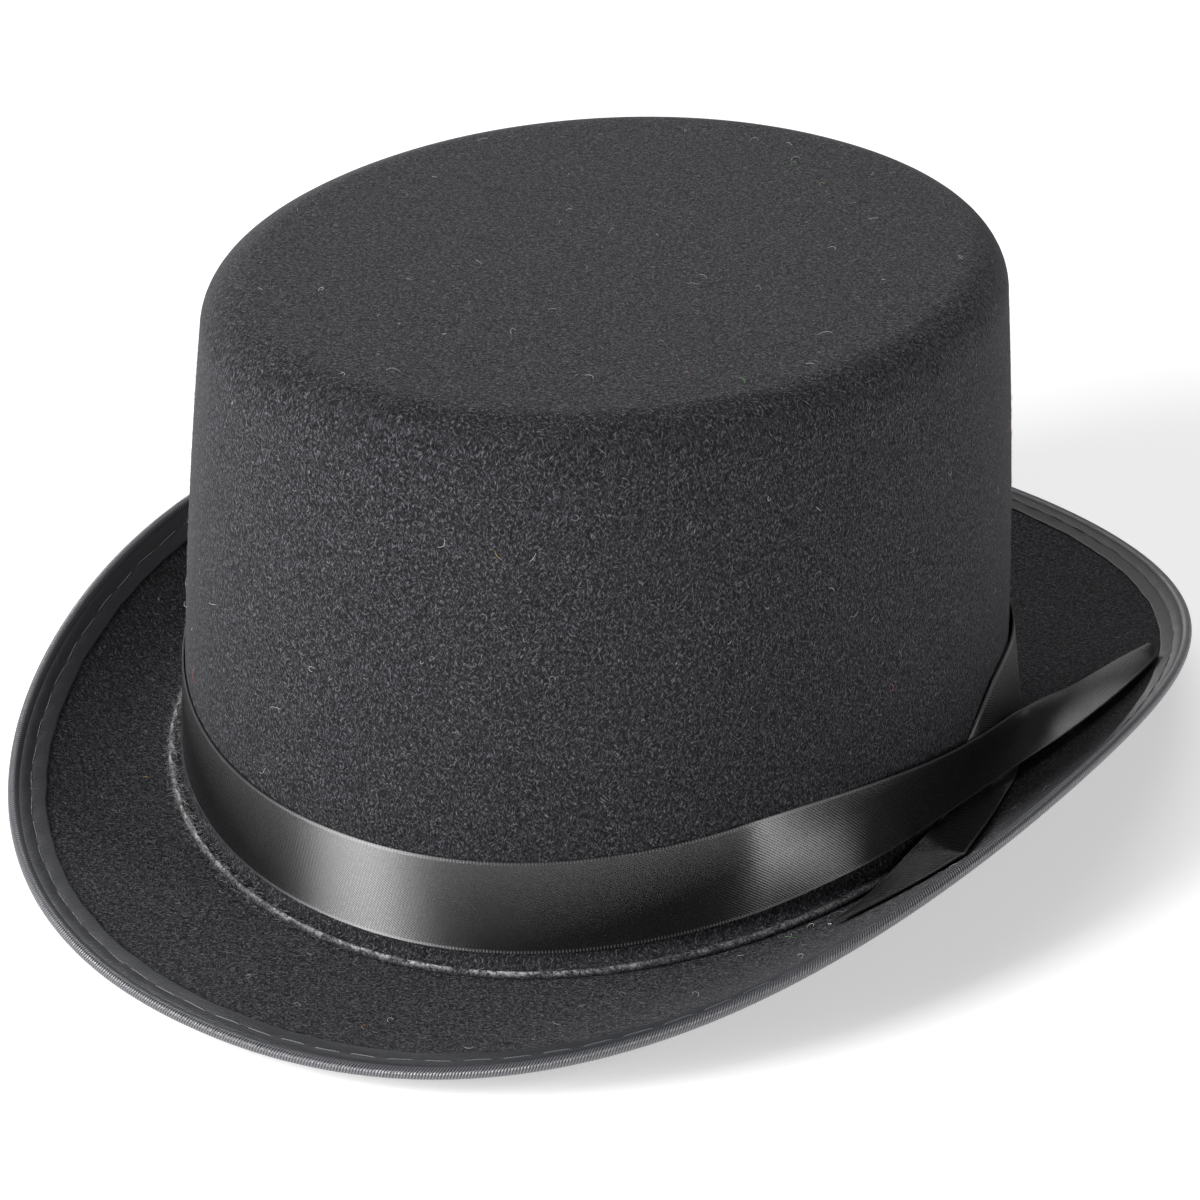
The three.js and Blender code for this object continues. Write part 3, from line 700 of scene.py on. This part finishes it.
def brim_layer(name, low, high, node, material, slot):
    """One layer of the brim, from under the crown out to its cut edge inside the binding."""
    inner, outer = brim_inner(ANGLES), brim_at(ANGLES, FELT_CUT)
    s = inner + (outer - inner) * np.linspace(0, 1, 30)[:, None]
    points = np.concatenate([brim_point(ANGLES, s, high), brim_point(ANGLES, s[::-1], low)])
    piece = grid(name, points, material, slot, glaze=np.zeros(points.shape[:2]))
    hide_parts(node)
    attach(piece, "hat")


def binding():
    """Bias tape folded over the edge: a flat strip above and below, and a round bead over the wire."""
    angles = np.arange(960) * 2 * math.pi / 960
    strip = np.array([(9.00, 0.84), (9.08, 0.98), (8.95, 1.16), (8.3, 1.20), (7.0, 1.17), (5.9, 1.08),
                      (5.3, 0.99), (4.7, 1.08), (3.7, 1.17), (2.8, 1.12), (2.3, 1.00)]) * MM
    upper = curve_through(strip, np.linspace(0, len(strip) - 1, 41))
    turn = np.linspace(math.radians(-25), math.radians(205), 21)
    bead = 1.3 * MM
    nose = np.stack([BEAD_CENTRE - bead * np.sin(turn), bead * np.cos(turn)], -1)
    lower = upper[::-1] * (1, -1)
    inner = np.array([(8.9, -0.82), (2.5, -0.82), (0.6, 0.0), (2.5, 0.82), (8.9, 0.82)]) * MM
    profile = np.concatenate([upper, nose, lower, inner])
    around = lengths_along(brim_point(angles, brim_at(angles, STITCH_LINE), 0.0), True)
    total = around[-1]
    count = round(total / STITCH_PITCH)
    pucker = np.cos(2 * math.pi * count * around[:-1] / total)
    rows = []
    for distance, up in profile:
        near_stitch = math.exp(-((distance - STITCH_LINE) / (1.5 * MM)) ** 2)
        edge_wave = 0.12 * MM * ripple(angles, (31, 47, 83), 21) if distance > 8.2 * MM else 0.0
        height = up * (1 - 0.06 * near_stitch * pucker)
        rows.append(brim_point(angles, brim_at(angles, distance + edge_wave), height))
    points = np.array(rows)
    on_bead = np.zeros(len(profile))
    on_bead[len(upper):len(upper) + len(nose)] = 1.0
    stitched = np.exp(-((profile[:, 0] - STITCH_LINE) / (0.4 * MM)) ** 2) * (profile[:, 1] > 0.9 * MM)
    piece = grid("binding_tape", points, BINDING, "binding_tape", bead=on_bead[:, None],
                 stitched=stitched[:, None])
    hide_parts("brim_binding")
    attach(piece, "hat")
    return count


def binding_stitches(count):
    """Running stitches: short threads that lie on the tape and dive into it at both ends."""
    pitch = 2 * math.pi / count
    starts = (np.arange(count)[:, None] + 0.10) * pitch
    u = np.linspace(0, 1, 11)
    angle = starts + pitch * 0.80 * u
    wander = 0.15 * MM * np.sin(angle * 57)
    height = (1.12 - 0.45 * (2 * u - 1) ** 8) * MM
    paths = brim_point(angle, brim_at(angle, STITCH_LINE + wander), height)
    piece = tubes("binding_stitches", paths, 0.11 * MM, 6, THREAD)
    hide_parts("binding_thread")
    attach(piece, "hat")


# ---- Ribbon ----

def on_wall(degrees, height, outset=1.0 * MM):
    """A point just off the crown's wall, at a height above its foot line."""
    angle = np.radians(degrees)
    return crown_point(angle, saddle(angle) + height, -outset)


def ribbon_strip(name, lines, samples, belly):
    """A ribbon through stations. lines are its lower edge, any lines between, and its upper edge. belly says,
    in mm, how far its middle stands off the line between its edges, at stations from the start."""
    t = np.linspace(0, len(lines[0]) - 1, samples)
    edges = np.stack([curve_through(line, t) for line in lines])
    across = np.concatenate([[0, 0.012, 0.03], np.linspace(0.07, 0.93, 13), [0.97, 0.988, 1]])
    rows = curve_through(edges, across * (len(lines) - 1))
    along = np.gradient(rows, axis=1)
    sideways = np.gradient(rows, axis=0)
    normal = np.cross(along, sideways)
    normal /= np.linalg.norm(normal, axis=-1, keepdims=True)
    bow = np.interp(t, np.arange(len(belly)), belly) * MM
    rows = rows + normal * (bow * np.sin(math.pi * across[:, None]))[..., None]
    over = rows + normal * RIBBON_THICKNESS / 2
    under = rows - normal * RIBBON_THICKNESS / 2
    points = np.concatenate([over, under[::-1]])
    reach = np.minimum(across, 1 - across) * RIBBON_WIDTH
    from_edge = np.concatenate([reach, reach[::-1]])[:, None]
    piece = grid(name, points, SATIN, "satin_ribbon", ring=False, sharp=60, from_edge=from_edge)
    close_ends(piece)
    return piece


def mm(*points):
    return [np.array(point) * MM for point in points]


def lay_ribbon(piece):
    """Bakes one run of the ribbon's transform into its mesh."""
    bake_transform(piece)


def front_ribbon():
    """From the wearer's right round the front, over the crossing and back on to the brim."""
    band = np.arange(-180, -29, 7.5)
    lower = [on_wall(a, BAND_LOW, BAND_OUTSET) for a in band] + mm(
        (88.6, -28, 10.6), (91.2, -5, 10.2), (92.4, 15, 9.4), (93.0, 32, 8.3), (95.0, 45.5, 8.8),
        (97.2, 57.5, 10.6), (99.2, 71.5, 13.1), (98.8, 84, 13.5), (97.4, 88.5, 13.3))
    upper = [on_wall(a, BAND_HIGH, BAND_OUTSET) for a in band] + mm(
        (87.6, -21, 28), (90.6, -1, 25.2), (89.6, 19.8, 20.7), (87.4, 37, 16.5), (85.0, 48, 12.4),
        (83.6, 60, 8.7), (84.6, 71, 6.8), (89.6, 87, 9.3), (92.6, 91.6, 11.0))
    belly = [0.0] * (len(band) - 1) + [0.0, 0.0, -0.3, -0.8, -1.0, -0.6, 0.3, 0.9, 1.3, 1.0]
    piece = ribbon_strip("ribbon_front_run", [lower, upper], 420, belly)
    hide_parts("band_end_over", "upper_tail", "hat_band")
    lay_ribbon(piece)


def back_ribbon():
    """From the wearer's right round the back, behind the crossing and forward on the brim."""
    band = np.arange(180, 47, -7.5)
    lower = [on_wall(a, BAND_LOW, BAND_OUTSET) for a in band] + mm(
        (77.2, 61.3, 3.7), (86.0, 45, 5.0), (92.9, 30, 6.0), (95.6, 20, 6.6), (98.3, 10, 7.7),
        (103.2, -9.5, 10.9), (104.2, -13.0, 11.6), (104.4, -13.9, 11.7), (103.9, -14.9, 11.5),
        (100.8, -21.7, 9.3), (95.6, -35, 7.0), (91.2, -46.7, 5.8))
    corner = [on_wall(a, BAND_LOW + 1 * MM, BAND_OUTSET) for a in band] + mm(
        (76.7, 61.2, 5.0), (84.9, 44.6, 6.7), (88.6, 30, 7.1), (89.7, 19, 7.3), (91.0, 8, 8.0),
        (95, -9.5, 9.7), (95.3, -13, 9.6), (95.3, -14.5, 9.4), (95.2, -16, 9.2), (94.6, -24, 7.6),
        (93.2, -36, 6.3), (90.8, -46.8, 5.65))
    upper = [on_wall(a, BAND_HIGH, BAND_OUTSET) for a in band] + [
        on_wall(39.5, BAND_HIGH - 0.6 * MM), on_wall(30, BAND_HIGH - 1.2 * MM)] + mm(
        (86.0, 28, 28.5), (89.0, 10, 18), (90.6, 1, 8.9), (92.3, -9.5, 9.6), (92.3, -13, 9.1),
        (92.25, -14.8, 8.85), (92.2, -16.5, 8.6), (92.0, -26, 6.9), (91.6, -37, 5.9), (90.4, -46.9, 5.5))
    piece = ribbon_strip("ribbon_back_run", [lower, corner, upper], 520, [0.0])
    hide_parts("band_end_under", "lower_tail")
    lay_ribbon(piece)


def band_tack():
    """A few turns of thread that hold the front run to the one behind it."""
    u = np.linspace(0, 1, 60)
    turns = 5
    x = 89.4 * MM + 0.5 * MM * np.cos(2 * math.pi * turns * u)
    z = 12 * MM + 0.5 * MM * np.sin(2 * math.pi * turns * u)
    path = np.stack([x, (24.6 + 2.8 * u) * MM, z], -1)[None]
    piece = tubes("band_tack_thread", path, 0.14 * MM, 6, THREAD)
    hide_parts("band_tack")
    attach(piece, "hat")


# ---- Loose fibres ----

def curls(base, normal, length, curl, steps=6):
    """Bent fibres that start on a surface and lean over it."""
    count = len(base)
    random = rng.normal(size=(count, 3))
    lean = random - (random * normal).sum(1, keepdims=True) * normal
    lean /= np.linalg.norm(lean, axis=1, keepdims=True)
    side = np.cross(normal, lean)
    rise = rng.uniform(0.15, 0.6, (count, 1))
    bend = rng.uniform(-curl, curl, (count, 1))
    t = np.linspace(0, 1, steps)[None, :, None]
    turn = bend[:, None] * t
    forward = np.sinc(turn / math.pi / 2) * t
    paths = base[:, None] + length[:, None, None] * (
        lean[:, None] * forward * np.cos(turn / 2)
        + side[:, None] * forward * np.sin(turn / 2)
        + normal[:, None] * rise[:, None] * np.sin(math.pi * t * 0.8) * 0.5)
    return paths


def wall_places(count):
    angle = rng.uniform(0, 2 * math.pi, count)
    z = rng.uniform(28 * MM, WALL_TOP, count)
    step = 1e-4
    here = crown_point(angle, z, 0.0)
    around = crown_point(angle + step, z, 0.0) - here
    up = crown_point(angle, z + step, 0.0) - here
    return here, unit(np.cross(around, up))


def tip_places(count):
    angle = rng.uniform(0, 2 * math.pi, count)
    scale = np.sqrt(rng.uniform(0, 1.1, count))
    here = crown_point(angle, CROWN_HEIGHT, SHOULDER_RADIUS, np.minimum(scale, 1))
    return here, np.tile([0, 0.05, 1.0], (count, 1))


def brim_places(count):
    angle = rng.uniform(0, 2 * math.pi, count)
    s = rng.uniform(0.05, 1, count) * brim_at(angle, BINDING_WIDTH)
    here = brim_point(angle, s, BRIM_FELT[1])
    return here, unit(here - brim_point(angle, s, 0.0))


def ridge_places(count):
    """Places along the ridge, mostly at the front left, where it is frayed."""
    angle = np.radians(rng.normal(-128, 24, count))
    reach = rng.normal(3.1 * MM, 0.7 * MM, count)
    x, y = oval(angle, FOOT[0] + reach, FOOT[1] + reach, CROWN_SQUARENESS)
    height = np.where(reach < 3.8 * MM, 1.6 * MM, 0.2 * MM)
    return np.stack([x, y, saddle(angle) + height], -1), np.tile([0, 0, 1.0], (count, 1))


def unit(vectors):
    return vectors / np.linalg.norm(vectors, axis=-1, keepdims=True)


SPECKS = np.array([(0.5, 0.06, 0.05), (0.45, 0.35, 0.08), (0.12, 0.35, 0.12), (0.5, 0.2, 0.08)])


def hairs(name, places, lengths, curl, steps, radius, sides, shades, coloured=False):
    """Bent fibres at places on the felt, with lengths and shades from a range, and some coloured if asked."""
    base = np.concatenate([place[0] for place in places])
    normal = np.concatenate([place[1] for place in places])
    length = rng.uniform(lengths[0] * MM, lengths[1] * MM, len(base))
    paths = curls(base, normal, length, curl, steps)
    shade = np.repeat(rng.uniform(shades[0], shades[1], (len(base), 1)), 3, axis=1)
    if coloured:
        shade[::9] = SPECKS[rng.integers(0, len(SPECKS), len(shade[::9]))]
    piece = tubes(name, paths, radius * MM, sides, FUZZ, shade)
    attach(piece, "hat")


def loose_fibres():
    """Fuzz that stands off the felt, the frayed ridge, and sparse lint with a few coloured specks."""
    places = [wall_places(5200), tip_places(2200), brim_places(3000)]
    hairs("felt_fuzz", places, (0.5, 1.3), 2.5, 4, 0.022, 3, (0.03, 0.22))
    hairs("ridge_fray", [ridge_places(1500)], (0.5, 1.8), 2.5, 6, 0.022, 3, (0.12, 0.5))
    places = [wall_places(70), tip_places(45), brim_places(60)]
    hairs("felt_lint", places, (0.8, 3.2), 4.5, 10, 0.04, 4, (0.25, 0.6), coloured=True)


# ---- Stage ----

CAMERA_AZIMUTH = math.radians(33.34)
CAMERA_ELEVATION = math.radians(29.12)
CAMERA_ROLL = math.radians(-1.93)
CAMERA_DISTANCE = 0.902
CAMERA_TARGET = Vector((0.01822, -0.03791, 0.05827))
CAMERA_LENS = 124.2


def camera():
    """A long lens from above the hat's front left, rolled a little."""
    back = Vector((math.sin(CAMERA_AZIMUTH) * math.cos(CAMERA_ELEVATION),
                   -math.cos(CAMERA_AZIMUTH) * math.cos(CAMERA_ELEVATION), math.sin(CAMERA_ELEVATION)))
    level = Vector((math.cos(CAMERA_AZIMUTH), math.sin(CAMERA_AZIMUTH), 0))
    upright = back.cross(level)
    right = level * math.cos(CAMERA_ROLL) - upright * math.sin(CAMERA_ROLL)
    up = level * math.sin(CAMERA_ROLL) + upright * math.cos(CAMERA_ROLL)
    data = bpy.data.cameras.new("camera")
    data.lens = CAMERA_LENS
    data.sensor_width = 36
    data.clip_start = 0.01
    obj = new_object("camera", data)
    place = CAMERA_TARGET + back * CAMERA_DISTANCE
    obj.matrix_world = Matrix.Translation(place) @ Matrix((right, up, back)).transposed().to_4x4()
    bpy.context.scene.camera = obj


def soft_light(name, azimuth, elevation, distance, size, power):
    """A softbox that faces the hat. Azimuth 0 is in front of it, and 90 on the wearer's left."""
    data = bpy.data.lights.new(name, "AREA")
    data.shape = "RECTANGLE"
    data.size, data.size_y = size
    data.energy = power
    obj = new_object(name, data)
    azimuth, elevation = math.radians(azimuth), math.radians(elevation)
    towards = Vector((math.sin(azimuth) * math.cos(elevation), -math.cos(azimuth) * math.cos(elevation),
                      math.sin(elevation)))
    obj.location = Vector((0, 0, 0.06)) + towards * distance
    obj.rotation_euler = towards.to_track_quat("Z", "Y").to_euler()


def floor():
    """A pale floor that glows a little, so that it stays near white."""
    mesh = bpy.data.meshes.new("floor")
    half = 6.0
    corners = [(-half, -half, 0), (half, -half, 0), (half, half, 0), (-half, half, 0)]
    mesh.from_pydata(corners, [], [(0, 1, 2, 3)])
    obj = new_object("floor", mesh)
    n = Nodes("pale_floor")
    tone = n.mix(n.ramp(n.noise(n.position(), 3.0), 0.3, 0.7), grey(0.90), grey(0.92))
    mesh.materials.append(n.set(Base_Color=tone, Roughness=0.8, Specular_IOR_Level=0.0,
                                Emission_Color=(1, 1, 1, 1), Emission_Strength=0.40))


def stage():
    camera()
    floor()
    soft_light("key", -22, 22, 1.5, (0.52, 1.0), 33)
    soft_light("side", 93, 19, 1.5, (0.26, 1.0), 9)
    soft_light("rim", -125, 8, 1.5, (0.5, 0.5), 4)
    soft_light("top", -140, 63, 1.8, (1.5, 1.5), 11)
    world = bpy.data.worlds.new("studio")
    world.use_nodes = True
    background = world.node_tree.nodes["Background"]
    background.inputs["Color"].default_value = (1, 1, 1, 1)
    background.inputs["Strength"].default_value = 0.05
    bpy.context.scene.world = world
    bpy.context.scene.view_settings.view_transform = "Standard"


# ---- Everything ----

stage()
crown_felt()
crown_stiffener()
lining_side()
lining_tip()
sweatband()
care_label()
brim_layer("brim_felt_upper", BRIM_FELT[0], BRIM_FELT[1], "brim_felt_top", FELT, "felt")
brim_layer("brim_stiffener_sheet", -BRIM_CORE, BRIM_CORE, "brim_stiffener", STIFFENER, "stiffener")
brim_layer("brim_felt_lower", -BRIM_FELT[1], -BRIM_FELT[0], "brim_felt_under", FELT, "felt")
binding_stitches(binding())
front_ribbon()
back_ribbon()
band_tack()
loose_fibres()
for node in ("brim_wire", "wire_joiner"):
    for material_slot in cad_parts[node].material_slots:
        material_slot.material = STEEL
